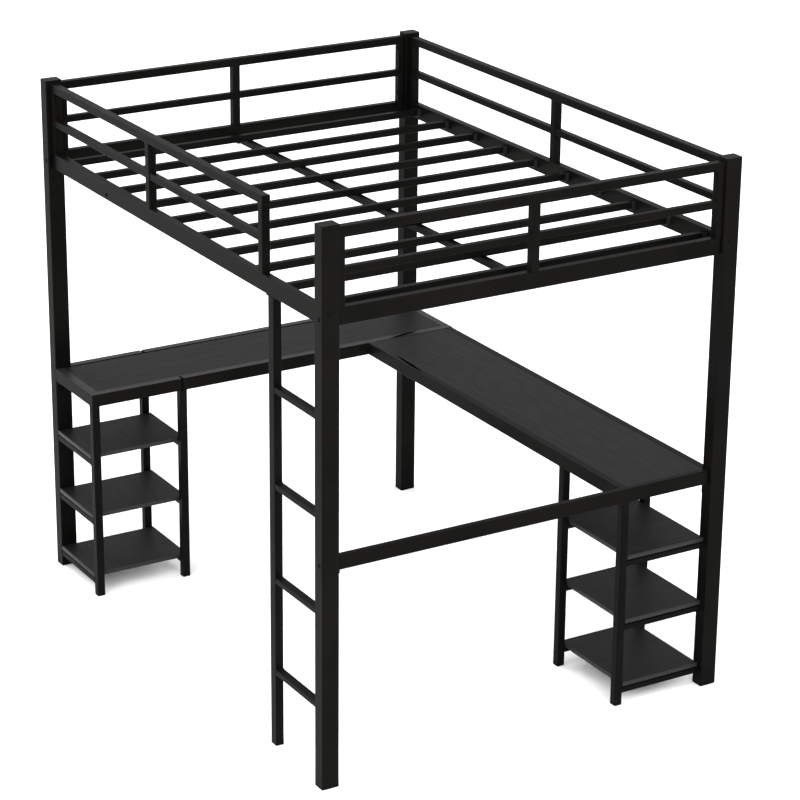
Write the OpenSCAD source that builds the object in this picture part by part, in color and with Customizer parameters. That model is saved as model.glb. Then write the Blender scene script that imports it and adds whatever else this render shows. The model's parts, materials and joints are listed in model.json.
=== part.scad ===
// Loft bed with an L-shaped desk and two shelf units underneath.
// Millimetres. +X across the bed towards the wall side, +Y along the bed towards the head end, +Z up.
// Origin at the middle of the footprint, on the floor.

/* [Overall] */
// width over the posts
bed_w = 1592; // [1560:2:1700]
// length over the posts
bed_l = 2100; // [2080:2:2240]
// height of the post tops above the floor
bed_h = 1927; // [1920:1:2000]

/* [Posts and tubes] */
// post size across the bed
post_x = 63; // [58:1:70]
// post size along the bed
post_y = 50; // [46:1:56]
// wall thickness of posts and rails
wall = 1.5; // [1.2:0.1:2]
// wall thickness of the small tubes
thin_wall = 1.2; // [1:0.1:1.5]
// outside corner radius of the tubes
corner = 3; // [2.5:0.5:4]
// thickness of the cap on each post and of the foot under it
cap_t = 4; // [3:0.5:5]

/* [Bed frame] */
// top of the bed rails above the floor
rail_top = 1654; // [1646:1:1662]
// height of the bed rails
rail_h = 58; // [54:1:62]
// thickness of the bed rails and of the guard tubes
rail_t = 30; // [28:1:32]
// number of slats
slat_count = 10; // [6:1:10]
// distance between slat centres
slat_pitch = 205; // [150:1:206]
// size of the square slat tube
slat_s = 25; // [22:1:26]
// top of the slats above the floor
slat_top = 1642; // [1638:1:1644]
// side of the square lengthwise beam
beam_s = 25; // [20:1:30]
// lengthwise beam off the centre line
beam_x = -2; // [-20:1:20]
// hole plug on the ladder-side rail, from the middle of the bed
rail_plug_y = 537; // [450:1:560]

/* [Guard rails] */
// top of the guard above the floor
guard_top = 1915; // [1880:1:1920]
// side of the square middle rail
mid_s = 25; // [20:1:28]
// underside of the middle rail above the floor
mid_z = 1757.5; // [1730:0.5:1790]
// width of the upright beside each post
guard_end = 25; // [22:1:28]
// middle upright of the guards at the two bed ends, off the centre line
end_mid_x = -7; // [-40:1:40]
// middle upright of the guard on the wall side, off the centre line
wall_mid_y = -3; // [-40:1:40]
// middle upright of the guard on the ladder side
ladder_mid_y = 201; // [150:1:250]
// centre of the last upright of the guard on the ladder side
ladder_end_y = -618; // [-640:1:-560]

/* [Ladder] */
// side of the stile and of the rungs across the bed
stile_t = 30; // [28:1:32]
// depth of the stile along the bed
stile_y = 37; // [30:1:40]
// clear length of the rungs
rung_l = 295; // [280:1:320]
// height of a rung
rung_h = 20; // [18:1:24]
// top of the lowest rung
rung_first = 285; // [260:1:300]
// distance between rungs
rung_pitch = 336; // [300:1:340]
// number of rungs
rung_count = 4; // [3:1:4]

/* [Desk] */
// top of the desk above the floor
desk_top = 811; // [780:1:830]
// height of the desk frame tube
desk_h = 48; // [44:1:52]
// thickness of the desk frame tube and of the shelf legs
desk_t = 30; // [28:1:32]
// thickness of all the boards
board_t = 15; // [12:1:18]
// depth of the head desk, from the post plane to its front
head_desk_d = 325; // [300:1:360]
// depth of the long desk, from the post plane to its front
long_desk_d = 351; // [330:1:380]
// top of the cross bar between the two foot posts
cross_top = 818.5; // [800:0.5:830]
// height of the cross bar
cross_h = 50; // [44:1:54]
// thickness of the cross bar
cross_t = 25; // [22:1:28]

/* [Shelf units] */
// distance of the second pair of legs of the head unit from the outside of the ladder side
unit_w = 390; // [370:1:410]
// far end of the foot unit, measured from the foot end
unit_d = 408; // [390:1:430]
// underside of the lowest shelf bars
shelf_z = 44; // [30:1:60]
// distance between shelves
shelf_pitch = 240; // [220:1:240]
// side of the square shelf bar
shelf_bar = 20; // [18:1:22]
// height of the pads between bar and board
pad_h = 5; // [3:0.5:6]

/* [Fasteners] */
// bolt diameter
bolt_d = 8; // [6:1:8]
// clearance of the bolt holes
bolt_gap = 0.6; // [0.4:0.1:1]
// head diameter
head_d = 14; // [13:0.5:16]
// head height
head_h = 3; // [2.5:0.5:4]

/* [Hidden] */
// half sizes and planes
hx = bed_w / 2;
hy = bed_l / 2;
px = hx - post_x;            // inner faces of the posts across the bed
py = hy - post_y;            // inner faces of the posts along the bed
cx = hx - post_x / 2;        // plane of the side rails
cy = hy - post_y / 2;        // plane of the end rails
rail_bot = rail_top - rail_h;
plate_t = 4;                 // end plates of the rails and of the cross bar
plate_inset = 8;             // plates narrower than the post faces
plate_x = post_x - plate_inset;
plate_y = post_y - plate_inset;
plate_z0 = rail_bot + 4;
plate_z1 = rail_top - 6;
end_bolt_z = rail_bot + 25;
side_bolt_z = rail_bot + 43;
slat_bot = slat_top - slat_s;
slat_x = cx - rail_t / 2 - 2;         // slat end
holder_x = cx - rail_t / 2;           // inner face of the side rails
holder_l = 14;                        // saddle that takes each slat end
holder_side = 1.8;
holder_floor = 5.5;
holder_back = 1.5;
fit = 0.3;
beam_top = slat_bot;
saddle_l = 26;                        // bracket under each end of the beam
saddle_low = 8;                       // its sides below the top of the beam
rail_plug_d = 12;
rail_plug_h = 2.5;
guard_bot = guard_top - rail_t;
guard_z_hi = guard_bot - 16;
guard_z_lo = rail_top + 36;
nut_t = 6;
nut_d = 14;
hex_d = 5.8;                          // socket in the bolt heads
hex_depth = 2;
bolt_past = 8;                        // thread past the end plate
cut = 1;                              // bores start and end this far outside the metal
stile_x = cx;
stile_y0 = -py + rung_l;
stile_plate_t = 3;
stile_flange = 12;                    // stile plate past the stile, each way
stile_top = rail_bot - stile_plate_t;
glide_h = 3;
skirt_t = 2;                          // plastic and steel caps: skirt inside the tube
skirt_h = 10;
glide_skirt_h = 8;
skirt_gap = 0.4;
desk_bot = desk_top - desk_h;
head_front = py - head_desk_d;        // front of the head desk
head_rear = hy - 15 - desk_t;         // inner face of its rear tube
long_front = px - long_desk_d;        // front of the long desk
leg2_x = -hx + unit_w - desk_t;       // second leg of the head unit
joint_x = leg2_x + 6;                 // plug between the unit frame and the desk frame
joint_w = 10;
foot_leg_y0 = -hy + 24;               // first leg of the foot unit
foot_leg_y1 = -hy + unit_d - desk_t;  // second leg of the foot unit
support = 20;                         // tubes under the desk boards
support_x = [-600, -250, 50, 300, 600];
support_y = [-950, -450, 0, 330, 610];
plug_l = 25;                          // joiner plug inside each tube
support_top = desk_top - board_t;
board_gap = 2;
cable_gap = 9;                        // open strip behind the head desk board
cross_plate_h = cross_h + 12;
strip_t = 1;                          // cover strips on the desk frame
slot_l = 120;                         // lens-shaped cable slot in the front cover strip
slot_w = 13;
slot_x = 549;
slot_turn = 10;
taper_from = 185;                     // the long cover strip narrows between these, from the head desk
taper_to = 440;
pad_d = 14;
pad_inset = 30;                       // pads from the ends of the bars
bracket_l = 40;                       // angle brackets of the desk frame
bracket_t = 3;
screw_at = bracket_l * 0.65;
screw_d = 5;
screw_head_d = 9;
screw_head_h = 2.4;
steel = [0.11, 0.11, 0.115];
steel_dark = [0.07, 0.07, 0.075];
plastic = [0.045, 0.045, 0.05];
zinc = [0.16, 0.16, 0.17];
laminate = [0.2, 0.195, 0.195];

// ---------- profiles and tubes ----------
module rounded(a, b, r) {
  union() {
    square([a - 2 * r, b], center = true);
    square([a, b - 2 * r], center = true);
    for (i = [-1, 1], j = [-1, 1]) {
      translate([i * (a / 2 - r), j * (b / 2 - r)]) circle(r = r, $fn = 24);
    }
  }
}

// solid bars along one axis: ends first, then the two centre coordinates and the two sizes
module bar_x(x0, x1, y, z, a, b, r = corner) {
  translate([x0, y, z]) rotate([90, 0, 90]) linear_extrude(height = x1 - x0) rounded(a, b, r);
}

module bar_y(y0, y1, x, z, a, b, r = corner) {
  translate([x, y0, z]) rotate([90, 0, 180]) linear_extrude(height = y1 - y0) rounded(a, b, r);
}

module bar_z(z0, z1, x, y, a, b, r = corner) {
  translate([x, y, z0]) linear_extrude(height = z1 - z0) rounded(a, b, r);
}

module bore_x(x0, x1, y, z, a, b, t) {
  bar_x(x0, x1, y, z, a - 2 * t, b - 2 * t, corner - t);
}

module bore_y(y0, y1, x, z, a, b, t) {
  bar_y(y0, y1, x, z, a - 2 * t, b - 2 * t, corner - t);
}

module bore_z(z0, z1, x, y, a, b, t) {
  bar_z(z0, z1, x, y, a - 2 * t, b - 2 * t, corner - t);
}

module tube_x(x0, x1, y, z, a, b, t) {
  difference() {
    bar_x(x0, x1, y, z, a, b);
    bore_x(x0 - 1, x1 + 1, y, z, a, b, t);
  }
}

module tube_y(y0, y1, x, z, a, b, t) {
  difference() {
    bar_y(y0, y1, x, z, a, b);
    bore_y(y0 - 1, y1 + 1, x, z, a, b, t);
  }
}

module tube_z(z0, z1, x, y, a, b, t) {
  difference() {
    bar_z(z0, z1, x, y, a, b);
    bore_z(z0 - 1, z1 + 1, x, y, a, b, t);
  }
}

// round pins along one axis
module pin_x(x0, x1, y, z, d) {
  translate([x0, y, z]) rotate([0, 90, 0]) cylinder(d = d, h = x1 - x0, $fn = 32);
}

module pin_y(y0, y1, x, z, d) {
  translate([x, y1, z]) rotate([90, 0, 0]) cylinder(d = d, h = y1 - y0, $fn = 32);
}

// low bolt pointing along +Z with its seat at z = 0
module bolt(len) {
  difference() {
    union() {
      cylinder(d = bolt_d, h = len, $fn = 32);
      translate([0, 0, -head_h]) cylinder(d = head_d, h = head_h, $fn = 40);
    }
    translate([0, 0, -head_h - 0.1]) cylinder(d = hex_d, h = hex_depth + 0.1, $fn = 6);
  }
}

module nut() {
  difference() {
    cylinder(d = nut_d, h = nut_t, $fn = 6);
    translate([0, 0, -1]) cylinder(d = bolt_d + 0.1, h = nut_t + 2, $fn = 32);
  }
}

// ---------- posts ----------
module post(sx, sy) {
  x = sx * cx;
  y = sy * cy;
  hole = bolt_d + bolt_gap;
  color(steel)
  difference() {
    tube_z(cap_t, bed_h - cap_t, x, y, post_x, post_y, wall);
    pin_x(x - post_x, x + post_x, y, end_bolt_z, hole);
    pin_y(y - post_y, y + post_y, x, side_bolt_z, hole);
    for (z = [guard_z_lo, guard_z_hi]) {
      pin_x(min(x, sx * px) - 1, max(x, sx * px) + 1, y, z, hole);
      if (sx > 0 || sy > 0) pin_y(min(y, sy * py) - 1, max(y, sy * py) + 1, x, z, hole);
    }
    if (sy < 0) pin_x(x - post_x, x + post_x, y, cross_top - cross_h / 2, hole);
  }
}

module post_foot_ladder() {
  post(-1, -1);
}

module post_foot_wall() {
  post(1, -1);
}

module post_head_ladder() {
  post(-1, 1);
}

module post_head_wall() {
  post(1, 1);
}

module end_cap(x, y) {
  inner_x = post_x - 2 * wall - skirt_gap;
  inner_y = post_y - 2 * wall - skirt_gap;
  translate([x, y, 0]) {
    linear_extrude(height = cap_t) rounded(post_x, post_y, corner);
    translate([0, 0, cap_t]) linear_extrude(height = skirt_h) difference() {
      rounded(inner_x, inner_y, 1.3);
      rounded(inner_x - 2 * skirt_t, inner_y - 2 * skirt_t, 0.8);
    }
  }
}

module post_caps() {
  color(steel)
  for (sx = [-1, 1], sy = [-1, 1]) {
    translate([0, 0, bed_h]) mirror([0, 0, 1]) end_cap(sx * cx, sy * cy);
  }
}

module post_feet() {
  color(plastic)
  for (sx = [-1, 1], sy = [-1, 1]) end_cap(sx * cx, sy * cy);
}

// ---------- bed frame ----------
module end_rail(sy) {
  color(steel)
  tube_x(-px + plate_t, px - plate_t, sy * cy, rail_bot + rail_h / 2, rail_t, rail_h, wall);
}

module end_rail_foot() {
  end_rail(-1);
}

module end_rail_head() {
  end_rail(1);
}

module side_rail(sx) {
  color(steel)
  tube_y(-py + plate_t, py - plate_t, sx * cx, rail_bot + rail_h / 2, rail_t, rail_h, wall);
}

module side_rail_ladder() {
  side_rail(-1);
}

module side_rail_wall() {
  side_rail(1);
}

module rail_end_plates() {
  h = plate_z1 - plate_z0;
  hole = bolt_d + bolt_gap;
  color(steel_dark)
  for (sx = [-1, 1], sy = [-1, 1]) {
    difference() {
      translate([sx * (px - plate_t / 2), sy * cy, plate_z0 + h / 2])
        cube([plate_t, plate_y, h], center = true);
      pin_x(min(sx * px, 0) - 1, max(sx * px, 0) + 1, sy * cy, end_bolt_z, hole);
    }
    difference() {
      translate([sx * cx, sy * (py - plate_t / 2), plate_z0 + h / 2])
        cube([plate_x, plate_t, h], center = true);
      pin_y(min(sy * py, 0) - 1, max(sy * py, 0) + 1, sx * cx, side_bolt_z, hole);
    }
  }
}

module cross_end_plates() {
  z = cross_top - cross_h / 2;
  color(steel_dark)
  for (sx = [-1, 1]) {
    difference() {
      translate([sx * (px - plate_t / 2), -cy, z])
        cube([plate_t, plate_y, cross_plate_h], center = true);
      pin_x(-px - 1, px + 1, -cy, z, bolt_d + bolt_gap);
    }
  }
}

module rail_plug() {
  // low domed plug that closes a spare hole in the ladder-side rail
  color(plastic)
  translate([-cx - rail_t / 2, rail_plug_y, rail_bot + rail_h / 3]) rotate([0, -90, 0]) {
    cylinder(d = rail_plug_d, h = rail_plug_h - 1, $fn = 40);
    translate([0, 0, rail_plug_h - 1])
      cylinder(d1 = rail_plug_d, d2 = rail_plug_d - 4, h = 1, $fn = 40);
  }
}

function slat_y(i) = (i - (slat_count - 1) / 2) * slat_pitch;

module slats() {
  color(steel)
  for (i = [0 : slat_count - 1]) {
    tube_x(-slat_x, slat_x, slat_y(i), slat_bot + slat_s / 2, slat_s, slat_s, thin_wall);
  }
}

module slat_holder() {
  // saddle on the side rail that takes the slat end, open at the top and towards the middle of the bed
  inside = slat_s + 2 * fit;
  outside = inside + 2 * holder_side;
  difference() {
    translate([-holder_l, -outside / 2, slat_bot - holder_floor])
      cube([holder_l, outside, slat_s + holder_floor]);
    translate([-holder_l - cut, -inside / 2, slat_bot])
      cube([holder_l + cut - holder_back, inside, slat_s + cut]);
  }
}

module slat_holders() {
  color(plastic)
  for (i = [0 : slat_count - 1]) {
    translate([holder_x, slat_y(i), 0]) slat_holder();
    mirror([1, 0, 0]) translate([holder_x, slat_y(i), 0]) slat_holder();
  }
}

module centre_beam() {
  // tube under the slats, between the end rails
  color(steel)
  tube_y(-cy + rail_t / 2, cy - rail_t / 2, beam_x, beam_top - beam_s / 2, beam_s, beam_s, thin_wall);
}

module beam_brackets() {
  // saddles that carry the beam ends, open at the top
  w = beam_s + 2 * bracket_t + 2 * fit;
  color(steel_dark)
  for (sy = [-1, 1]) {
    y1 = sy * (cy - rail_t / 2);
    y0 = y1 - sy * saddle_l;
    difference() {
      translate([beam_x - w / 2, min(y0, y1), beam_top - beam_s - bracket_t])
        cube([w, saddle_l, beam_s + bracket_t - saddle_low]);
      translate([beam_x - beam_s / 2 - fit, min(y0, y1) - cut, beam_top - beam_s])
        cube([beam_s + 2 * fit, saddle_l + 2 * cut, beam_s]);
    }
  }
}

// ---------- guard rails ----------
module guard_x(sy) {
  // welded frame between two posts: top tube, two end uprights, middle upright, two middle rails
  y = sy * cy;
  zt = guard_top - rail_t / 2;
  zm = mid_z + mid_s / 2;
  xe = px - guard_end / 2;
  color(steel)
  difference() {
    union() {
      bar_x(-px, px, y, zt, rail_t, rail_t);
      for (x = [-xe, xe]) bar_z(rail_top, guard_top - corner, x, y, guard_end, rail_t);
      bar_z(rail_top, guard_bot + corner, end_mid_x, y, rail_t, rail_t);
      bar_x(-xe, xe, y, zm, mid_s, mid_s);
    }
    bore_x(-px - 1, px + 1, y, zt, rail_t, rail_t, wall);
    for (x = [-xe, xe]) bore_z(rail_top - 1, guard_bot + 4, x, y, guard_end, rail_t, wall);
    bore_z(rail_top - 1, guard_bot + 4, end_mid_x, y, rail_t, rail_t, wall);
    bore_x(-xe, xe, y, zm, mid_s, mid_s, thin_wall);
    for (x = [-xe, xe], z = [guard_z_lo, guard_z_hi]) {
      pin_x(x - guard_end, x + guard_end, y, z, bolt_d + bolt_gap);
    }
  }
}

module guard_foot() {
  guard_x(-1);
}

module guard_head() {
  guard_x(1);
}

module guard_wall() {
  x = cx;
  zt = guard_top - rail_t / 2;
  zm = mid_z + mid_s / 2;
  ye = py - guard_end / 2;
  color(steel)
  difference() {
    union() {
      bar_y(-py, py, x, zt, rail_t, rail_t);
      for (y = [-ye, ye]) bar_z(rail_top, guard_top - corner, x, y, rail_t, guard_end);
      bar_z(rail_top, guard_bot + corner, x, wall_mid_y, rail_t, rail_t);
      bar_y(-ye, ye, x, zm, mid_s, mid_s);
    }
    bore_y(-py - 1, py + 1, x, zt, rail_t, rail_t, wall);
    for (y = [-ye, ye]) bore_z(rail_top - 1, guard_bot + 4, x, y, rail_t, guard_end, wall);
    bore_z(rail_top - 1, guard_bot + 4, x, wall_mid_y, rail_t, rail_t, wall);
    bore_y(-ye, ye, x, zm, mid_s, mid_s, thin_wall);
    for (y = [-ye, ye], z = [guard_z_lo, guard_z_hi]) {
      pin_y(y - guard_end, y + guard_end, x, z, bolt_d + bolt_gap);
    }
  }
}

module guard_ladder() {
  // shorter frame: it stops at a closed free end and leaves the way onto the bed open
  x = -cx;
  zt = guard_top - rail_t / 2;
  zm = mid_z + mid_s / 2;
  ye = py - guard_end / 2;
  y0 = ladder_end_y - rail_t / 2;
  color(steel)
  difference() {
    union() {
      bar_y(y0, py, x, zt, rail_t, rail_t);
      bar_z(rail_top, guard_top - corner, x, ye, rail_t, guard_end);
      for (y = [ladder_mid_y, ladder_end_y]) bar_z(rail_top, guard_bot + corner, x, y, rail_t, rail_t);
      bar_y(ladder_end_y, ye, x, zm, mid_s, mid_s);
    }
    bore_y(y0 + wall, py + 1, x, zt, rail_t, rail_t, wall);
    bore_z(rail_top - 1, guard_bot + 4, x, ye, rail_t, guard_end, wall);
    for (y = [ladder_mid_y, ladder_end_y]) {
      bore_z(rail_top - 1, guard_bot + 4, x, y, rail_t, rail_t, wall);
    }
    bore_y(ladder_end_y, ye, x, zm, mid_s, mid_s, thin_wall);
    for (z = [guard_z_lo, guard_z_hi]) pin_y(ye - guard_end, ye + guard_end, x, z, bolt_d + bolt_gap);
  }
}

// ---------- ladder ----------
module ladder_stile() {
  color(steel)
  tube_z(glide_h, stile_top, -stile_x, stile_y0 + stile_y / 2, stile_t, stile_y, wall);
}

module stile_plate() {
  // flat plate between the stile and the underside of the side rail
  color(steel_dark)
  translate([-stile_x - stile_t / 2, stile_y0 - stile_flange, stile_top])
    cube([stile_t, stile_y + 2 * stile_flange, stile_plate_t]);
}

module ladder_rungs() {
  color(steel)
  for (i = [0 : rung_count - 1]) {
    tube_y(-py, stile_y0, -stile_x, rung_first + i * rung_pitch - rung_h / 2, stile_t, rung_h, wall);
  }
}

// ---------- desk ----------
module cross_bar() {
  color(steel)
  tube_x(-px + plate_t, px - plate_t, -cy, cross_top - cross_h / 2, cross_t, cross_h, wall);
}

module desk_frame_unit() {
  // U-shaped part of the desk frame above the head shelf unit
  z = desk_top - desk_h / 2;
  xl = -hx + desk_t / 2;
  yf = head_front + desk_t / 2;
  yr = head_rear + desk_t / 2;
  color(steel)
  difference() {
    union() {
      bar_y(head_front, py, xl, z, desk_t, desk_h);
      bar_x(xl, joint_x, yf, z, desk_t, desk_h);
    }
    bore_y(head_front + wall, py + 1, xl, z, desk_t, desk_h, wall);
    bore_x(xl, joint_x + 1, yf, z, desk_t, desk_h, wall);
  }
  color(steel)
  tube_x(-px, joint_x, yr, z, desk_t, desk_h, wall);
}

module desk_frame_head() {
  // rest of the head desk frame: front tube, rear tube and the end tube at the wall side
  z = desk_top - desk_h / 2;
  x0 = joint_x + joint_w;
  xr = px + desk_t / 2;
  yf = head_front + desk_t / 2;
  yr = head_rear + desk_t / 2;
  color(steel)
  difference() {
    union() {
      bar_x(x0, px + desk_t, yf, z, desk_t, desk_h);
      bar_y(yf, py, xr, z, desk_t, desk_h);
    }
    bore_x(x0 - 1, px + desk_t - wall, yf, z, desk_t, desk_h, wall);
    bore_y(yf, py + 1, xr, z, desk_t, desk_h, wall);
  }
  color(steel)
  tube_x(x0, px, yr, z, desk_t, desk_h, wall);
}

module desk_frame_long() {
  // front and rear tube of the long desk, from the foot end to the head desk
  z = desk_top - desk_h / 2;
  color(steel) {
    tube_y(-cy + cross_t / 2, head_front, long_front + desk_t / 2, z, desk_t, desk_h, wall);
    tube_y(-py, head_front, px + desk_t / 2, z, desk_t, desk_h, wall);
  }
}

module desk_joiners() {
  // plastic plugs that join the unit frame to the desk frame, front and rear
  z = desk_top - desk_h / 2;
  plug = desk_t - 2 * wall - 2 * fit;
  color(plastic)
  for (y = [head_front + desk_t / 2, head_rear + desk_t / 2]) {
    bar_x(joint_x, joint_x + joint_w, y, z - 0.5, desk_t - 2, desk_h - 3);
    bar_x(joint_x - plug_l, joint_x + joint_w + plug_l, y, z, plug, desk_h - 2 * wall - 2 * fit, 1.2);
  }
}

module desk_supports() {
  // square tubes under the boards, between the frame tubes
  z = support_top - support / 2;
  color(steel_dark) {
    for (x = support_x) {
      tube_y(head_front + desk_t, head_rear, x, z, support, support, thin_wall);
    }
    for (y = support_y) {
      tube_x(long_front + desk_t, px, y, z, support, support, thin_wall);
    }
  }
}

module desk_board_head() {
  x0 = -hx + desk_t + board_gap;
  x1 = px - board_gap;
  y0 = head_front + desk_t + board_gap;
  y1 = min(head_rear - cable_gap, py - board_gap);
  color(laminate)
  translate([x0, y0, support_top]) cube([x1 - x0, y1 - y0, board_t]);
}

module desk_board_long() {
  x0 = long_front + desk_t + board_gap;
  x1 = px - 0.5;
  y0 = -cy + cross_t / 2 + 1;
  y1 = head_front - 1;
  color(laminate)
  difference() {
    translate([x0, y0, support_top]) cube([x1 - x0, y1 - y0, board_t]);
    // corner cut round the end plate of the cross bar
    translate([x1 - plate_t - 2, y0 - 1, support_top - 1]) cube([plate_t + 3, 12, board_t + 2]);
  }
}

// thin strip lying on the frame, from corner to corner
module strip(x0, y0, x1, y1) {
  translate([x0, y0, desk_top]) cube([x1 - x0, y1 - y0, strip_t]);
}

module cable_slot() {
  r = (slot_l * slot_l + slot_w * slot_w) / (4 * slot_w);
  linear_extrude(height = strip_t + 2) intersection() {
    translate([0, r - slot_w / 2]) circle(r = r, $fn = 200);
    translate([0, slot_w / 2 - r]) circle(r = r, $fn = 200);
  }
}

module desk_strips_head() {
  // cover strips on the head desk frame, parted over the plugs and with a cable slot in front
  front_in = head_front + desk_t;
  color(laminate) {
    strip(-hx, head_front, joint_x, front_in);
    strip(-hx, front_in, -hx + desk_t, py);
    strip(-px, head_rear, joint_x, head_rear + desk_t);
    strip(joint_x + joint_w, head_rear, px, head_rear + desk_t);
    strip(px, front_in, px + desk_t, py);
    difference() {
      strip(joint_x + joint_w, head_front, px + desk_t, front_in);
      translate([slot_x, head_front + desk_t / 2, desk_top - 1]) rotate([0, 0, slot_turn]) cable_slot();
    }
  }
}

module desk_strip_long() {
  // cover strip on the front tube of the long desk, narrowing to nothing in an S-curve
  steps = 16;
  curve = [for (i = [0 : steps]) [
    long_front + desk_t * (1 + cos(180 * i / steps)) / 2,
    head_front - taper_from - (taper_to - taper_from) * i / steps
  ]];
  color(laminate)
  translate([0, 0, desk_top]) linear_extrude(height = strip_t)
    polygon(concat([[long_front, head_front - 0.3], [long_front + desk_t, head_front - 0.3]], curve));
}

// ---------- shelf units ----------
module leg(x, y) {
  tube_z(glide_h, desk_bot, x + desk_t / 2, y + desk_t / 2, desk_t, desk_t, thin_wall);
}

function head_legs() = [[-hx, head_front], [leg2_x, head_front], [leg2_x, head_rear]];
function foot_legs() = [[long_front, foot_leg_y0], [long_front, foot_leg_y1], [px, foot_leg_y1]];

module shelf_legs_head() {
  color(steel)
  for (p = head_legs()) leg(p[0], p[1]);
}

module shelf_legs_foot() {
  color(steel)
  for (p = foot_legs()) leg(p[0], p[1]);
}

function bar_centre(i) = shelf_z + i * shelf_pitch + shelf_bar / 2;
function shelf_under(i) = shelf_z + i * shelf_pitch + shelf_bar + pad_h;

// lines the side bars run along: two across the bed for the head unit, two along it for the foot unit
function head_bars() = [-hx + shelf_bar / 2, leg2_x + desk_t - shelf_bar / 2];
function foot_bars() = [foot_leg_y0 + shelf_bar / 2, foot_leg_y1 + desk_t - shelf_bar / 2];

module shelf_bars_head() {
  y0 = head_front + desk_t;
  x = head_bars();
  color(steel)
  for (i = [0 : 2]) {
    tube_y(y0, py, x[0], bar_centre(i), shelf_bar, shelf_bar, thin_wall);
    tube_y(y0, head_rear, x[1], bar_centre(i), shelf_bar, shelf_bar, thin_wall);
  }
}

module shelf_bars_foot() {
  color(steel)
  for (i = [0 : 2], y = foot_bars()) {
    tube_x(long_front + desk_t, px, y, bar_centre(i), shelf_bar, shelf_bar, thin_wall);
  }
}

module shelf_head(i) {
  x0 = -hx + 1;
  x1 = leg2_x + desk_t - 1;
  y0 = head_front + desk_t + board_gap;
  color(laminate)
  translate([x0, y0, shelf_under(i)]) cube([x1 - x0, py - board_gap - y0, board_t]);
}

module shelf_head_low() {
  shelf_head(0);
}

module shelf_head_mid() {
  shelf_head(1);
}

module shelf_head_top() {
  shelf_head(2);
}

module shelf_foot(i) {
  y0 = foot_leg_y0 + 1;
  y1 = foot_leg_y1 + desk_t - 1;
  x0 = long_front + desk_t + board_gap;
  color(laminate)
  translate([x0, y0, shelf_under(i)]) cube([px - board_gap - x0, y1 - y0, board_t]);
}

module shelf_foot_low() {
  shelf_foot(0);
}

module shelf_foot_mid() {
  shelf_foot(1);
}

module shelf_foot_top() {
  shelf_foot(2);
}

module shelf_pads() {
  // pads between the bars and the boards
  color(plastic)
  for (i = [0 : 2]) {
    for (x = head_bars(), y = [head_front + desk_t + pad_inset, py - pad_inset]) {
      translate([x, y, shelf_under(i) - pad_h]) cylinder(d = pad_d, h = pad_h, $fn = 32);
    }
    for (y = foot_bars(), x = [long_front + desk_t + pad_inset, px - pad_inset]) {
      translate([x, y, shelf_under(i) - pad_h]) cylinder(d = pad_d, h = pad_h, $fn = 32);
    }
  }
}

module glide(x, y, a, b, t) {
  less = 2 * t + skirt_gap;
  translate([x, y, 0]) {
    linear_extrude(height = glide_h) rounded(a, b, corner);
    translate([0, 0, glide_h]) linear_extrude(height = glide_skirt_h) rounded(a - less, b - less, 1.4);
  }
}

module leg_glides() {
  color(plastic) {
    for (p = concat(head_legs(), foot_legs())) {
      glide(p[0] + desk_t / 2, p[1] + desk_t / 2, desk_t, desk_t, thin_wall);
    }
    glide(-stile_x, stile_y0 + stile_y / 2, stile_t, stile_y, wall);
  }
}

// ---------- fasteners ----------
module frame_bolts() {
  len_x = post_x + plate_t + bolt_past;
  len_y = post_y + plate_t + bolt_past;
  color(zinc)
  for (sx = [-1, 1], sy = [-1, 1]) {
    translate([sx * hx, sy * cy, end_bolt_z]) rotate([0, -90 * sx, 0]) bolt(len_x);
    translate([sx * cx, sy * hy, side_bolt_z]) rotate([90 * sy, 0, 0]) bolt(len_y);
  }
}

module frame_nuts() {
  color(zinc)
  for (sx = [-1, 1], sy = [-1, 1]) {
    translate([sx * (px - plate_t), sy * cy, end_bolt_z]) rotate([0, -90 * sx, 0]) nut();
    translate([sx * cx, sy * (py - plate_t), side_bolt_z]) rotate([90 * sy, 0, 0]) nut();
  }
}

module guard_bolts() {
  len = guard_end + wall + nut_t + 1;
  color(zinc)
  for (z = [guard_z_lo, guard_z_hi]) {
    for (sx = [-1, 1], sy = [-1, 1]) {
      translate([sx * (px - guard_end), sy * cy, z]) rotate([0, 90 * sx, 0]) bolt(len);
      if (sx > 0 || sy > 0) {
        translate([sx * cx, sy * (py - guard_end), z]) rotate([-90 * sy, 0, 0]) bolt(len);
      }
    }
  }
}

module guard_nuts() {
  color(zinc)
  for (z = [guard_z_lo, guard_z_hi]) {
    for (sx = [-1, 1], sy = [-1, 1]) {
      translate([sx * (px + wall), sy * cy, z]) rotate([0, 90 * sx, 0]) nut();
      if (sx > 0 || sy > 0) {
        translate([sx * cx, sy * (py + wall), z]) rotate([-90 * sy, 0, 0]) nut();
      }
    }
  }
}

module cross_bolts() {
  len = post_x + plate_t + bolt_past;
  color(zinc)
  for (sx = [-1, 1]) {
    translate([sx * hx, -cy, cross_top - cross_h / 2]) rotate([0, -90 * sx, 0]) bolt(len);
  }
}

module cross_nuts() {
  color(zinc)
  for (sx = [-1, 1]) {
    translate([sx * (px - plate_t), -cy, cross_top - cross_h / 2]) rotate([0, -90 * sx, 0]) nut();
  }
}

// angle bracket with one plate against a post (the plane x = 0) and one under the frame tube
module desk_bracket() {
  w = desk_t - 4;
  hole = screw_d + 0.4;
  difference() {
    union() {
      translate([0, -w / 2, -bracket_l]) cube([bracket_t, w, bracket_l]);
      translate([0, -w / 2, -bracket_t]) cube([bracket_l, w, bracket_t]);
    }
    pin_x(-cut, bracket_t + cut, 0, -screw_at, hole);
    translate([screw_at, 0, -bracket_t - cut]) cylinder(d = hole, h = bracket_t + 2 * cut, $fn = 32);
  }
}

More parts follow.
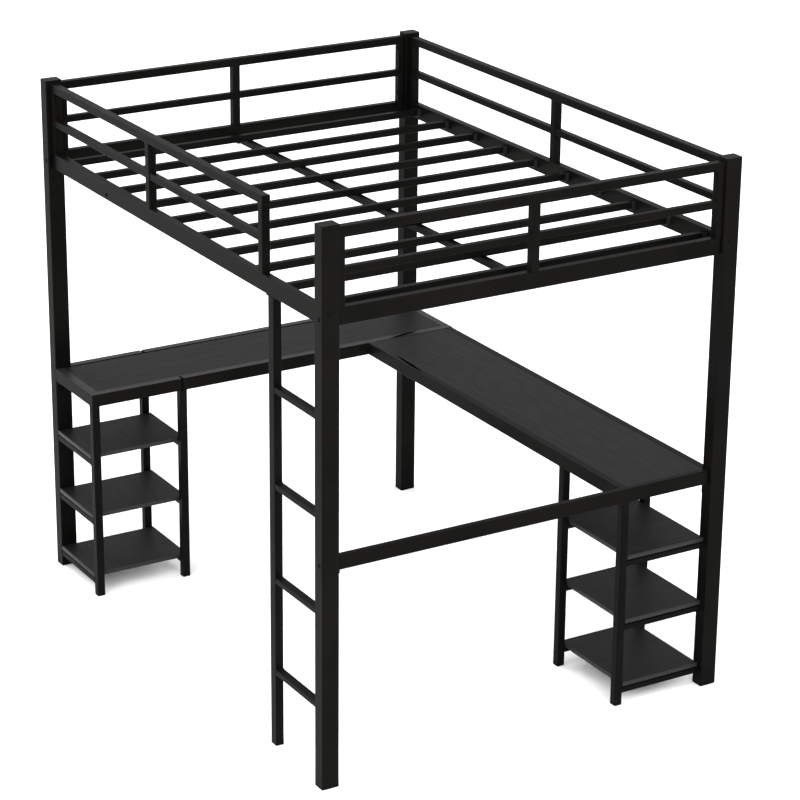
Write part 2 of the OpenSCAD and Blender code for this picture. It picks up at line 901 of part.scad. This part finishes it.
// screw pointing along -Z, its head on the plane z = 0
module screw() {
  cylinder(d = screw_head_d, h = screw_head_h, $fn = 32);
  translate([0, 0, -bracket_t]) cylinder(d = screw_d, h = bracket_t + cut, $fn = 32);
}

module bracket_pair() {
  // screw into the post and screw into the tube
  translate([bracket_t, 0, -screw_at]) rotate([0, 90, 0]) screw();
  translate([screw_at, 0, -bracket_t]) rotate([180, 0, 0]) screw();
}

module at_brackets() {
  // head ladder post (two), head wall post (two), foot wall post
  translate([-hx + desk_t / 2, py, desk_bot]) rotate([0, 0, -90]) children();
  translate([-px, head_rear + desk_t / 2, desk_bot]) children();
  translate([px, head_rear + desk_t / 2, desk_bot]) rotate([0, 0, 180]) children();
  translate([px + desk_t / 2, py, desk_bot]) rotate([0, 0, -90]) children();
  translate([px + desk_t / 2, -py, desk_bot]) rotate([0, 0, 90]) children();
}

module desk_brackets() {
  color(steel_dark)
  at_brackets() desk_bracket();
}

module bracket_screws() {
  color(zinc)
  at_brackets() bracket_pair();
}

post_foot_ladder();
post_foot_wall();
post_head_ladder();
post_head_wall();
post_caps();
post_feet();
end_rail_foot();
end_rail_head();
side_rail_ladder();
side_rail_wall();
rail_end_plates();
cross_end_plates();
rail_plug();
guard_foot();
guard_head();
guard_wall();
guard_ladder();
slats();
slat_holders();
centre_beam();
beam_brackets();
ladder_stile();
ladder_rungs();
stile_plate();
cross_bar();
desk_frame_unit();
desk_frame_head();
desk_frame_long();
desk_joiners();
desk_supports();
desk_board_head();
desk_board_long();
desk_strips_head();
desk_strip_long();
shelf_legs_head();
shelf_legs_foot();
shelf_bars_head();
shelf_bars_foot();
shelf_head_low();
shelf_head_mid();
shelf_head_top();
shelf_foot_low();
shelf_foot_mid();
shelf_foot_top();
shelf_pads();
leg_glides();
frame_bolts();
frame_nuts();
guard_bolts();
guard_nuts();
cross_bolts();
cross_nuts();
desk_brackets();
bracket_screws();
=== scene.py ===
"""Loft bed with an L-shaped desk: materials, small details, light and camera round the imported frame."""

import json
import math

import bmesh
import bpy
from mathutils import Matrix, Vector


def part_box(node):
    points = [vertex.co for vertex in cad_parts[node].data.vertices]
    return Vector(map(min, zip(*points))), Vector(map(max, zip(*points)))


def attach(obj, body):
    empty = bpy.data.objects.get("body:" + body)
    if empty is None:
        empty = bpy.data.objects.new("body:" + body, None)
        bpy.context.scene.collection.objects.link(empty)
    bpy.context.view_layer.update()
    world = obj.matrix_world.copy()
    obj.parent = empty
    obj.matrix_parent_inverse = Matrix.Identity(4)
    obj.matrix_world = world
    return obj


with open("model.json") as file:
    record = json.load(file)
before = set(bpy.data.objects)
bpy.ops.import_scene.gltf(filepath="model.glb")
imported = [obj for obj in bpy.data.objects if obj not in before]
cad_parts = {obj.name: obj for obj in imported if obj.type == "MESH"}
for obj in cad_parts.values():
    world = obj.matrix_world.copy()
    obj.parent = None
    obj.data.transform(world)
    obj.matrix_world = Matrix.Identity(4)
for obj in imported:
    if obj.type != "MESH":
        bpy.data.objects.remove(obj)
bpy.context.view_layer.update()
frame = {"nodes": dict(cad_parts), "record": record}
nodes = frame["nodes"]

MM = 0.001
SAME_POINT = 1e-6

# The camera stands where the picture of the object was taken from; angles are in degrees.
VIEW_AZIMUTH = -29.45
VIEW_ELEVATION = 19.96
CAMERA_PLACE = (-4.711, -8.008, 4.406)
LENS_MM = 124.05
SENSOR_MM = 36.0
SHIFT = (0.0926, -0.0530)
CLIP_END = 200

FLOOR_SIDE = 60.0
WORLD_STRENGTH = 1.0
SOFTBOX_SIDE = 2.0
# Suns: name, direction of the light, strength, and softness in degrees.
SUNS = (
    ("key_light", (0.55, 0.45, -1.0), 0.95, 50),
    ("rim_light", (0.34, -0.82, -0.46), 2.2, 34),
    ("side_light", (-0.9, 0.1, -0.4), 1.7, 40),
    ("fill_light", (-0.6, 0.6, -0.8), 0.5, 70),
)
# Softboxes: name, place, target and watts.
SOFTBOXES = (
    ("left_softbox", (-3.4, -1.0, 2.3), (-0.8, -0.3, 1.5), 68),
    ("front_softbox", (0.2, -4.2, 2.9), (0.0, -1.0, 1.8), 100),
)


# ---------------------------------------------------------------- materials
class Graph:
    """A material's node tree, with short calls for the nodes used here."""

    def __init__(self, name):
        self.material = bpy.data.materials.new(name)
        self.material.use_nodes = True
        self.tree = self.material.node_tree
        self.tree.nodes.clear()
        self.output = self.tree.nodes.new("ShaderNodeOutputMaterial")
        self.shader = self.tree.nodes.new("ShaderNodeBsdfPrincipled")
        self.link(self.shader.outputs["BSDF"], self.output.inputs["Surface"])
        self.coords = self.tree.nodes.new("ShaderNodeTexCoord").outputs["Object"]

    def link(self, source, target):
        self.tree.links.new(source, target)

    def set(self, **values):
        """Constant values on the shader's own sockets."""
        for name, value in values.items():
            self.shader.inputs[name.replace("_", " ")].default_value = value

    def stretched(self, scale):
        """The object's own coordinates, scaled along each axis."""
        node = self.tree.nodes.new("ShaderNodeMapping")
        node.inputs["Scale"].default_value = scale
        self.link(self.coords, node.inputs["Vector"])
        return node.outputs["Vector"]

    def noise(self, scale, detail=3.0, roughness=0.55, stretch=None):
        node = self.tree.nodes.new("ShaderNodeTexNoise")
        node.inputs["Scale"].default_value = scale
        node.inputs["Detail"].default_value = detail
        node.inputs["Roughness"].default_value = roughness
        self.link(self.stretched(stretch) if stretch else self.coords, node.inputs["Vector"])
        return node.outputs["Fac"]

    def ramp(self, value, stops):
        """Colour ramp; stops are (position, grey value or colour)."""
        node = self.tree.nodes.new("ShaderNodeValToRGB")
        ramp = node.color_ramp
        while len(ramp.elements) < len(stops):
            ramp.elements.new(0.5)
        for element, (position, colour) in zip(ramp.elements, stops):
            element.position = position
            element.color = (*colour, 1) if isinstance(colour, tuple) else (colour, colour, colour, 1)
        self.link(value, node.inputs["Fac"])
        return node.outputs["Color"]

    def span(self, value, low, high, low_from=0.3, high_from=0.7):
        """The value's range from low_from to high_from, mapped to low to high."""
        node = self.tree.nodes.new("ShaderNodeMapRange")
        node.inputs["From Min"].default_value = low_from
        node.inputs["From Max"].default_value = high_from
        node.inputs["To Min"].default_value = low
        node.inputs["To Max"].default_value = high
        self.link(value, node.inputs["Value"])
        return node.outputs["Result"]

    def mix(self, factor, first, second, how="MIX"):
        """Colour mix; factor, first and second are sockets or constant values."""
        node = self.tree.nodes.new("ShaderNodeMix")
        node.data_type = "RGBA"
        node.blend_type = how
        for name, value in (("Factor", factor), ("A", first), ("B", second)):
            socket = [s for s in node.inputs if s.name == name and s.enabled][0]
            if isinstance(value, bpy.types.NodeSocket):
                self.link(value, socket)
            else:
                socket.default_value = value if name == "Factor" else (*value, 1)
        return [s for s in node.outputs if s.enabled][0]

    def maths(self, how, first, second):
        node = self.tree.nodes.new("ShaderNodeMath")
        node.operation = how
        for socket, value in zip(node.inputs, (first, second)):
            if isinstance(value, bpy.types.NodeSocket):
                self.link(value, socket)
            else:
                socket.default_value = value
        return node.outputs["Value"]

    def bump(self, height, strength, distance, normal=None):
        node = self.tree.nodes.new("ShaderNodeBump")
        node.inputs["Strength"].default_value = strength
        node.inputs["Distance"].default_value = distance
        self.link(height, node.inputs["Height"])
        if normal:
            self.link(normal, node.inputs["Normal"])
        return node.outputs["Normal"]

    def colour(self, socket):
        self.link(socket, self.shader.inputs["Base Color"])

    def roughness(self, socket):
        self.link(socket, self.shader.inputs["Roughness"])

    def normal(self, socket):
        self.link(socket, self.shader.inputs["Normal"])


def shade(tint, factor):
    """The tint made darker or lighter."""
    return tuple(c * factor for c in tint)


def powder_coat(name, tint, gloss, level):
    """Satin black powder coat: fine orange peel, cloudy roughness, a few dull rub marks."""
    g = Graph(name)
    cloud = g.noise(3.2, detail=4)
    speck = g.noise(900, detail=2)
    rub = g.noise(38, detail=5, roughness=0.7)
    base = g.ramp(cloud, [(0.32, shade(tint, 0.72)), (0.68, shade(tint, 1.35))])
    flecked = g.mix(g.span(speck, 0.0, 0.5, 0.62, 0.78), base, shade(tint, 2.2))
    g.colour(flecked)
    worn = g.span(rub, 0.0, 0.10, 0.58, 0.74)
    cloudy = g.span(cloud, gloss - 0.05, gloss + 0.06)
    g.roughness(g.maths("ADD", cloudy, worn))
    peel = g.bump(g.noise(420, detail=3), 0.28, 0.00025)
    g.normal(g.bump(speck, 0.12, 0.00008, peel))
    g.set(Specular_IOR_Level=level, IOR=1.5)
    return g.material


def laminate(name, tint, grain_axis):
    """Dark grey woodgrain laminate, grain along the given axis."""
    g = Graph(name)
    along = {"X": (0.045, 1.0, 1.0), "Y": (1.0, 0.045, 1.0)}[grain_axis]
    fibres = g.noise(210, detail=6, roughness=0.62, stretch=along)
    bands = g.noise(26, detail=4, roughness=0.5, stretch=along)
    figure = g.ramp(bands, [(0.30, shade(tint, 0.90)), (0.50, tint), (0.72, shade(tint, 1.09))])
    pores = g.ramp(fibres, [(0.36, 0.80), (0.52, 1.0), (0.70, 1.05)])
    g.colour(g.mix(0.75, figure, pores, "MULTIPLY"))
    g.roughness(g.span(fibres, 0.58, 0.46))
    texture = g.bump(fibres, 0.35, 0.00012)
    g.normal(g.bump(g.noise(1500, detail=2), 0.10, 0.00005, texture))
    g.set(Specular_IOR_Level=0.062, IOR=1.5)
    return g.material


def edge_band(name, tint):
    """Thin plastic strip glued round a board."""
    g = Graph(name)
    streak = g.noise(300, detail=3, stretch=(1.0, 1.0, 8.0))
    g.colour(g.ramp(streak, [(0.35, shade(tint, 0.85)), (0.68, shade(tint, 1.15))]))
    g.roughness(g.span(g.noise(60), 0.36, 0.48))
    g.normal(g.bump(streak, 0.15, 0.00006))
    g.set(Specular_IOR_Level=0.10)
    return g.material


def moulded_plastic(name, tint, gloss, level):
    """Fine spark-eroded texture of injection moulded plastic."""
    g = Graph(name)
    grain = g.noise(1300, detail=3)
    cloud = g.noise(18, detail=3)
    g.colour(g.ramp(cloud, [(0.30, shade(tint, 0.85)), (0.70, shade(tint, 1.15))]))
    g.roughness(g.span(cloud, gloss - 0.04, gloss + 0.06))
    g.normal(g.bump(grain, 0.30, 0.00008))
    g.set(Specular_IOR_Level=level)
    return g.material


def weld_metal(name, tint):
    """Painted weld bead: the coat pools over it, a little glossier."""
    g = Graph(name)
    cloud = g.noise(160, detail=3)
    g.colour(g.ramp(cloud, [(0.35, shade(tint, 0.8)), (0.68, shade(tint, 1.3))]))
    g.roughness(g.span(cloud, 0.30, 0.42))
    g.normal(g.bump(g.noise(700, detail=2), 0.35, 0.00020))
    g.set(Specular_IOR_Level=0.03)
    return g.material


def black_oxide(name, tint):
    """Chemically blackened fastener steel."""
    g = Graph(name)
    cloud = g.noise(140, detail=4)
    g.colour(g.ramp(cloud, [(0.35, shade(tint, 0.7)), (0.68, shade(tint, 1.4))]))
    g.roughness(g.span(cloud, 0.30, 0.45))
    g.normal(g.bump(g.noise(1600, detail=2), 0.2, 0.00005))
    g.set(Specular_IOR_Level=0.035)
    return g.material


def studio_floor(name):
    """Plain pale floor with a barely visible mottling."""
    g = Graph(name)
    cloud = g.noise(1.5, detail=3)
    g.colour(g.ramp(cloud, [(0.3, (0.90, 0.90, 0.90)), (0.7, (0.93, 0.93, 0.93))]))
    g.roughness(g.span(cloud, 0.80, 0.90))
    g.normal(g.bump(g.noise(90, detail=2), 0.05, 0.0004))
    g.set(Specular_IOR_Level=0.1)
    return g.material


# Base colours, as linear red, green and blue.
COAT = (0.0033, 0.0031, 0.0028)
BLACK_PLASTIC = (0.0015, 0.0015, 0.0014)
GREY_PLASTIC = (0.014, 0.014, 0.014)
# near-black of the sheets that paint the shadow in the head desk's cable slot and beside the long desk's
# strip
SHADOW_SHEET_BLACK = (0.0004, 0.0004, 0.0004)
BOARD = (0.0078, 0.0071, 0.0074)
STRIP = (0.0135, 0.0125, 0.0128)
EDGING = (0.0190, 0.0180, 0.0184)

MATERIALS = {
    "frame_paint": powder_coat("frame_paint", COAT, 0.34, 0.020),
    # hidden_steel is the coat at 0.4 of its tone: painted shade on steel that stands in shadow, such as the
    # crossbar's end plates
    "hidden_steel": powder_coat("hidden_steel", shade(COAT, 0.4), 0.55, 0.03),
    "plastic": moulded_plastic("plastic", BLACK_PLASTIC, 0.60, 0.01),
    "slat_holder_plastic": moulded_plastic("slat_holder_plastic", GREY_PLASTIC, 0.50, 0.06),
    "fasteners": black_oxide("fasteners", COAT),
    "cover_strip": edge_band("cover_strip", STRIP),
}
BOARD_ALONG_X = laminate("laminate_along_x", BOARD, "X")
BOARD_ALONG_Y = laminate("laminate_along_y", BOARD, "Y")
BAND = edge_band("edge_band", EDGING)
WELD = weld_metal("weld_metal", COAT)
# painted shadow: near-black sheets laid in the head desk's cable slot and beside the long desk's strip
SHADOW_SHEET = moulded_plastic("slot_shadow_sheet", SHADOW_SHEET_BLACK, 0.70, 0.0)


SOFTENED_NODES = ("post_caps", "post_feet", "rail_end_plates", "stile_plate", "slat_holders")
SOFT_EDGE = 0.6 * MM
SHARP_ANGLE = math.radians(50)


def paint(piece, material):
    """Gives a piece this one material."""
    piece.data.materials.clear()
    piece.data.materials.append(material)


def is_board(name):
    return name.startswith(("desk_board", "desk_strip_long", "shelf_head_", "shelf_foot_"))


def board_material(name):
    """The grain runs lengthwise on the desk boards and front to back on the shelves."""
    along_y = name.startswith(("desk_board_long", "desk_strip_long", "shelf_head_"))
    return BOARD_ALONG_Y if along_y else BOARD_ALONG_X


def soften(piece, width, segments=3):
    """Rounds the sharp edges of a CAD node a little, so that they catch the light."""
    bevel = piece.modifiers.new("softened_edges", "BEVEL")
    bevel.width = width
    bevel.segments = segments
    bevel.limit_method = "ANGLE"
    bevel.angle_limit = SHARP_ANGLE
    bevel.harden_normals = True
    bevel.use_clamp_overlap = True


def finish_cad_nodes():
    """Puts a material on every CAD node and softens the edges of the small moulded and pressed parts."""
    slots = {s["node"]: s["material_slot"] for s in frame["record"]["subparts"]}
    for name, piece in nodes.items():
        if is_board(name):
            paint(piece, board_material(name))
        else:
            paint(piece, MATERIALS[slots[name]])
        if name in SOFTENED_NODES:
            soften(piece, SOFT_EDGE)


# ---------------------------------------------------------------- small pieces
def new_piece(name, mesh, material):
    """Turns a bmesh into a smooth piece that rides on the bed."""
    bmesh.ops.recalc_face_normals(mesh, faces=mesh.faces)
    data = bpy.data.meshes.new(name)
    mesh.to_mesh(data)
    mesh.free()
    for polygon in data.polygons:
        polygon.use_smooth = True
    piece = bpy.data.objects.new(name, data)
    bpy.context.scene.collection.objects.link(piece)
    data.materials.append(material)
    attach(piece, "root")
    return piece


def solids(name):
    """(lowest corner, highest corner) of each separate solid in a CAD node, in a fixed order."""
    mesh = bmesh.new()
    mesh.from_mesh(nodes[name].data)
    bmesh.ops.remove_doubles(mesh, verts=mesh.verts, dist=SAME_POINT)
    mesh.verts.ensure_lookup_table()
    seen = set()
    boxes = []
    for start in mesh.verts:
        if start.index in seen:
            continue
        seen.add(start.index)
        stack, found = [start], []
        while stack:
            vert = stack.pop()
            found.append(vert.co.copy())
            for edge in vert.link_edges:
                other = edge.other_vert(vert)
                if other.index not in seen:
                    seen.add(other.index)
                    stack.append(other)
        low = Vector([min(p[k] for p in found) for k in range(3)])
        high = Vector([max(p[k] for p in found) for k in range(3)])
        boxes.append((low, high))
    mesh.free()
    return sorted(boxes, key=lambda b: [round(c, 4) for c in b[0]])


# The signs of a rectangle's corners, anticlockwise from the one that is positive both ways.
CORNERS = ((1, 1), (-1, 1), (-1, -1), (1, -1))


def rounded_loop(half_a, half_b, radius, steps=4):
    """Points of a rounded rectangle in its own plane, anticlockwise, corner by corner."""
    points = []
    for k, (sa, sb) in enumerate(CORNERS):
        for i in range(steps + 1):
            angle = math.pi / 2 * (k + i / steps)
            across = sa * (half_a - radius) + radius * math.cos(angle)
            points.append((across, sb * (half_b - radius) + radius * math.sin(angle)))
    return points


def densify(path, step):
    """The same closed path with points at most one step apart."""
    dense = []
    for i, p in enumerate(path):
        q = path[(i + 1) % len(path)]
        parts = max(1, math.ceil(math.dist(p, q) / step))
        dense += [tuple(a + (b - a) * t / parts for a, b in zip(p, q)) for t in range(parts)]
    return dense


# The two directions across a tube that runs along each axis.
PLANES = {
    "X": (Vector((0, 1, 0)), Vector((0, 0, 1))),
    "Y": (Vector((0, 0, 1)), Vector((1, 0, 0))),
    "Z": (Vector((1, 0, 0)), Vector((0, 1, 0))),
}
TUBE_CORNER = 3 * MM
BEAD_RADIUS = 1.3 * MM
BEAD_SIDES = 6
# A bead's ripples: the distance between them and how much they swell.
RIPPLE_STEP = 2.6 * MM
RIPPLE = 0.17
# A slower unevenness along the bead: its size, and its turn from point to point.
DRIFT = 0.08
DRIFT_TURN = 0.9
# Uprights further apart than this are separate ones.
UPRIGHT_ROOM = 60 * MM
# Points this close to a node's lowest height are on its feet.
FOOT_ROOM = 0.2 * MM


def add_bead(mesh, centre, axis, size_a, size_b):
    """A weld bead round a tube's end: a small round section swept along its outline, swelling in ripples."""
    u, v = PLANES[axis]
    path = densify(rounded_loop(size_a / 2, size_b / 2, TUBE_CORNER), RIPPLE_STEP)
    count = len(path)
    rings = []
    for i, p in enumerate(path):
        before, after = path[i - 1], path[(i + 1) % count]
        tangent = (u * (after[0] - before[0]) + v * (after[1] - before[1])).normalized()
        along = u.cross(v)
        outward = tangent.cross(along)
        swell = RIPPLE * math.cos(math.pi * i) + DRIFT * math.sin(i * DRIFT_TURN)
        radius = BEAD_RADIUS * (1 + swell)
        middle = centre + u * p[0] + v * p[1]
        ring = []
        for k in range(BEAD_SIDES):
            a = 2 * math.pi * k / BEAD_SIDES
            ring.append(mesh.verts.new(middle + (outward * math.cos(a) + along * math.sin(a)) * radius))
        rings.append(ring)
    for i in range(count):
        join_rings(mesh, rings[i], rings[(i + 1) % count])


def join_rings(mesh, first, second):
    """Faces between two closed rings of as many points each."""
    for k in range(len(first)):
        n = (k + 1) % len(first)
        mesh.faces.new((first[k], first[n], second[n], second[k]))


def guard_welds(mesh, name, along):
    """Beads where a guard's middle rail meets its uprights and where the uprights meet the top tube."""
    across = "Y" if along == "X" else "X"
    ia, ib = "XYZ".index(along), "XYZ".index(across)
    low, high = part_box(name)
    points = [v.co for v in nodes[name].data.vertices]
    # only the middle rail has points in the middle third of the height
    third = (high.z - low.z) / 3
    rail = [p.z for p in points if low.z + third < p.z < high.z - third]
    rail_low, rail_high = min(rail), max(rail)
    top_low = high.z - (high[ib] - low[ib])
    # the feet of the uprights, grouped into one span along the guard for each upright
    feet = sorted({round(p[ia], 4) for p in points if abs(p.z - low.z) < FOOT_ROOM})
    groups = [[feet[0]]]
    for place in feet[1:]:
        if place - groups[-1][-1] > UPRIGHT_ROOM:
            groups.append([])
        groups[-1].append(place)
    spans = [(min(g), max(g)) for g in groups]
    middle_b = (low[ib] + high[ib]) / 2
    width_b = high[ib] - low[ib]

    def at(place, z):
        """A point in the middle plane of the guard."""
        point = Vector((0, 0, z))
        point[ia], point[ib] = place, middle_b
        return point

    rail_size = rail_high - rail_low
    for n, (start, end) in enumerate(spans):
        # the rail meets an upright only on the sides that look towards another one
        faces = ([end] if n < len(spans) - 1 else []) + ([start] if n > 0 else [])
        for face in faces:
            add_bead(mesh, at(face, (rail_low + rail_high) / 2), along, rail_size, rail_size)
        sizes = (end - start, width_b) if along == "X" else (width_b, end - start)
        add_bead(mesh, at((start + end) / 2, top_low), "Z", *sizes)


def end_welds(mesh, name, axis):
    """Beads round both ends of every tube in a node that runs along the axis."""
    i = "XYZ".index(axis)
    for low, high in solids(name):
        size = high - low
        if size[i] < max(size):
            continue
        sizes = {"X": (size.y, size.z), "Y": (size.z, size.x), "Z": (size.x, size.y)}[axis]
        for end in (low[i], high[i]):
            centre = (low + high) / 2
            centre[i] = end
            add_bead(mesh, centre, axis, *sizes)


def leg_top_welds(mesh, name, axis):
    """A bead round the top of every leg in a node."""
    for low, high in solids(name):
        size = high - low
        top = Vector(((low.x + high.x) / 2, (low.y + high.y) / 2, high.z))
        add_bead(mesh, top, axis, size.x, size.y)


# Each welded node, the axis of its tubes and how it is welded.
WELDED = (
    ("guard_foot", "X", guard_welds),
    ("guard_head", "X", guard_welds),
    ("guard_wall", "Y", guard_welds),
    ("guard_ladder", "Y", guard_welds),
    ("ladder_rungs", "Y", end_welds),
    ("shelf_bars_head", "Y", end_welds),
    ("shelf_bars_foot", "X", end_welds),
    ("shelf_legs_head", "Z", leg_top_welds),
    ("shelf_legs_foot", "Z", leg_top_welds),
)


def make_welds():
    for name, axis, weld in WELDED:
        mesh = bmesh.new()
        weld(mesh, name, axis)
        new_piece("welds_" + name, mesh, WELD)


# How far the edging stands out from a board. The long desk's board has less room round it.
EDGING_PROUD = 0.8 * MM
EDGING_PROUD_TIGHT = 0.35 * MM
EDGING_SOFT = 0.5 * MM
# How far the edging reaches in over the board, how much above its top, and how much above its underside.
EDGING_LAP = 0.4 * MM
EDGING_LIFT = 0.05 * MM
EDGING_RISE = 0.2 * MM
EDGING_CORNER_POINTS = 5


def edge_strip(board, proud):
    """Edging glued round a board's four sides: a thin ring with softly rounded edges."""
    low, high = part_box(board)
    soft = EDGING_SOFT
    # section of the strip: (distance out from the board's side, height)
    section = [(-EDGING_LAP, low.z + EDGING_RISE), (proud - soft, low.z), (proud, low.z + soft)]
    section += [(proud, high.z - soft), (proud - soft, high.z), (-EDGING_LAP, high.z + EDGING_LIFT)]
    centre = (low + high) / 2
    half_a, half_b = (high.x - low.x) / 2, (high.y - low.y) / 2
    mesh = bmesh.new()
    rings = []
    for k, (sa, sb) in enumerate(CORNERS):
        for i in range(EDGING_CORNER_POINTS):
            angle = math.pi / 2 * (k + i / (EDGING_CORNER_POINTS - 1))
            ring = []
            for out, z in section:
                reach = max(out, 0.0)
                inset = min(out, 0.0)
                x = centre.x + sa * (half_a + inset) + reach * math.cos(angle)
                y = centre.y + sb * (half_b + inset) + reach * math.sin(angle)
                ring.append(mesh.verts.new((x, y, z)))
            rings.append(ring)
    for i in range(len(rings)):
        join_rings(mesh, rings[i], rings[(i + 1) % len(rings)])
    bmesh.ops.remove_doubles(mesh, verts=mesh.verts, dist=SAME_POINT)
    new_piece("edging_" + board, mesh, BAND)


def make_edging():
    """Edging round every board of the desks and shelves."""
    for name in nodes:
        if name.startswith(("shelf_head_", "shelf_foot_", "desk_board")):
            edge_strip(name, EDGING_PROUD_TIGHT if name == "desk_board_long" else EDGING_PROUD)


def lens_outline(length, width, steps=24):
    """A lens between two equal arcs, lying along Y, anticlockwise."""
    sagitta = width / 2
    radius = (length * length / 4 + sagitta * sagitta) / (2 * sagitta)
    half = math.asin(length / 2 / radius)
    points = []
    for side in (1, -1):
        for i in range(steps):
            angle = -half + 2 * half * i / steps
            x, y = radius * math.cos(angle) - (radius - sagitta), radius * math.sin(angle)
            points.append((side * x, side * y))
    return points


# Near-black sheet in the head desk's cable slot, a painted shadow of the slot: overlap at both ends
# together, width and thickness.
HEAD_SHADOW_SHEET_OVERLAP = 6 * MM
HEAD_SHADOW_SHEET_W = 19 * MM
HEAD_SHADOW_SHEET_T = 1.5 * MM
# Near-black sheet beside the long desk's strip, a painted shadow of the gap there: place along the strip,
# offset across it, size and angle.
LONG_SHADOW_SHEET_AT = 0.36
LONG_SHADOW_SHEET_OFF = 1 * MM
LONG_SHADOW_SHEET_L = 210 * MM
LONG_SHADOW_SHEET_W = 11 * MM
LONG_SHADOW_SHEET_T = 0.6 * MM
LONG_SHADOW_SHEET_TURN = math.radians(-3.5)
# Lip of a painted-shadow sheet: where it starts to slope inwards, where it ends, and the height of the floor
# inside it.
LIP_TOP = 0.7 * MM
LIP_FOOT = 1.1 * MM
SHADOW_SHEET_FLOOR = 0.3
# A lens gets shorter faster than narrower when its outline moves inwards.
LENS_TAPER = 8
# The head desk's front strip: its width, and the margin along its edges that the slot stays out of.
STRIP_W = 30 * MM
STRIP_EDGE = 2 * MM
# The slot starts beyond this share of the way from the middle of the bed to the strips' end.
SLOT_FROM = 0.4


def add_shadow_sheet(name, centre, length, width, turn, thick):
    """Near-black sheet that paints the shadow of a cable slot or gap: a lens with a raised lip and a sunken
    floor.
    """
    mesh = bmesh.new()
    spin = Matrix.Rotation(turn, 3, "Z")
    rings = []
    profile = ((0.0, 0.0), (0.0, thick), (LIP_TOP, thick), (LIP_FOOT, thick * SHADOW_SHEET_FLOOR))
    for shrink, height in profile:
        outline = lens_outline(length - LENS_TAPER * shrink, width - 2 * shrink)
        rings.append([mesh.verts.new(centre + spin @ Vector((x, y, height))) for x, y in outline])
    for first, second in zip(rings, rings[1:]):
        join_rings(mesh, first, second)
    mesh.faces.new(rings[-1])
    mesh.faces.new(list(reversed(rings[0])))
    new_piece(name, mesh, SHADOW_SHEET)


def make_shadow_sheets():
    """One painted-shadow sheet in the head desk's cable slot and one beside the tapering strip of the long
    desk.
    """
    low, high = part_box("desk_strips_head")
    front, back = low.y + STRIP_EDGE, low.y + STRIP_W - STRIP_EDGE
    points = [v.co for v in nodes["desk_strips_head"].data.vertices]
    slot = [p for p in points if front < p.y < back and SLOT_FROM * high.x < p.x < high.x - STRIP_W]
    ends = (min(slot, key=lambda p: p.x), max(slot, key=lambda p: p.x))
    length = math.dist(ends[0].xy, ends[1].xy)
    turn = math.atan2(ends[1].y - ends[0].y, ends[1].x - ends[0].x) - math.pi / 2
    centre = (ends[0] + ends[1]) / 2
    centre.z = low.z
    add_shadow_sheet("shadow_sheet_head_slot", centre, length + HEAD_SHADOW_SHEET_OVERLAP, HEAD_SHADOW_SHEET_W, turn, HEAD_SHADOW_SHEET_T)
    low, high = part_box("desk_strip_long")
    x = (low.x + high.x) / 2 - LONG_SHADOW_SHEET_OFF
    centre = Vector((x, low.y + LONG_SHADOW_SHEET_AT * (high.y - low.y), high.z))
    add_shadow_sheet("shadow_sheet_long_desk", centre, LONG_SHADOW_SHEET_L, LONG_SHADOW_SHEET_W, LONG_SHADOW_SHEET_TURN, LONG_SHADOW_SHEET_T)


# ---------------------------------------------------------------- scene
def add_sun(name, towards, strength, softness):
    """Distant soft light shining along the given direction."""
    light = bpy.data.lights.new(name, "SUN")
    light.energy = strength
    light.angle = math.radians(softness)
    lamp = bpy.data.objects.new(name, light)
    bpy.context.scene.collection.objects.link(lamp)
    lamp.rotation_euler = Vector(towards).to_track_quat("-Z", "Y").to_euler()


def add_softbox(name, place, target, watts):
    """Square soft light at a place, facing a target."""
    light = bpy.data.lights.new(name, "AREA")
    light.size = SOFTBOX_SIDE
    light.energy = watts
    lamp = bpy.data.objects.new(name, light)
    bpy.context.scene.collection.objects.link(lamp)
    lamp.location = place
    lamp.rotation_euler = (Vector(target) - Vector(place)).to_track_quat("-Z", "Y").to_euler()


def make_floor():
    mesh = bmesh.new()
    bmesh.ops.create_grid(mesh, x_segments=2, y_segments=2, size=FLOOR_SIDE / 2)
    data = bpy.data.meshes.new("studio_floor")
    mesh.to_mesh(data)
    mesh.free()
    floor = bpy.data.objects.new("studio_floor", data)
    bpy.context.scene.collection.objects.link(floor)
    data.materials.append(studio_floor("studio_floor"))


def make_world():
    world = bpy.data.worlds.new("studio")
    bpy.context.scene.world = world
    world.use_nodes = True
    background = world.node_tree.nodes["Background"]
    background.inputs["Color"].default_value = (1, 1, 1, 1)
    background.inputs["Strength"].default_value = WORLD_STRENGTH


def make_camera():
    data = bpy.data.cameras.new("camera")
    data.lens = LENS_MM
    data.sensor_width = SENSOR_MM
    data.shift_x, data.shift_y = SHIFT
    data.clip_end = CLIP_END
    camera = bpy.data.objects.new("camera", data)
    bpy.context.scene.collection.objects.link(camera)
    camera.location = CAMERA_PLACE
    camera.rotation_euler = (math.radians(90 - VIEW_ELEVATION), 0, math.radians(VIEW_AZIMUTH))
    bpy.context.scene.camera = camera


finish_cad_nodes()
make_welds()
make_edging()
make_shadow_sheets()
make_floor()
make_world()
make_camera()
for sun in SUNS:
    add_sun(*sun)
for softbox in SOFTBOXES:
    add_softbox(*softbox)
bpy.context.scene.view_settings.view_transform = "Standard"
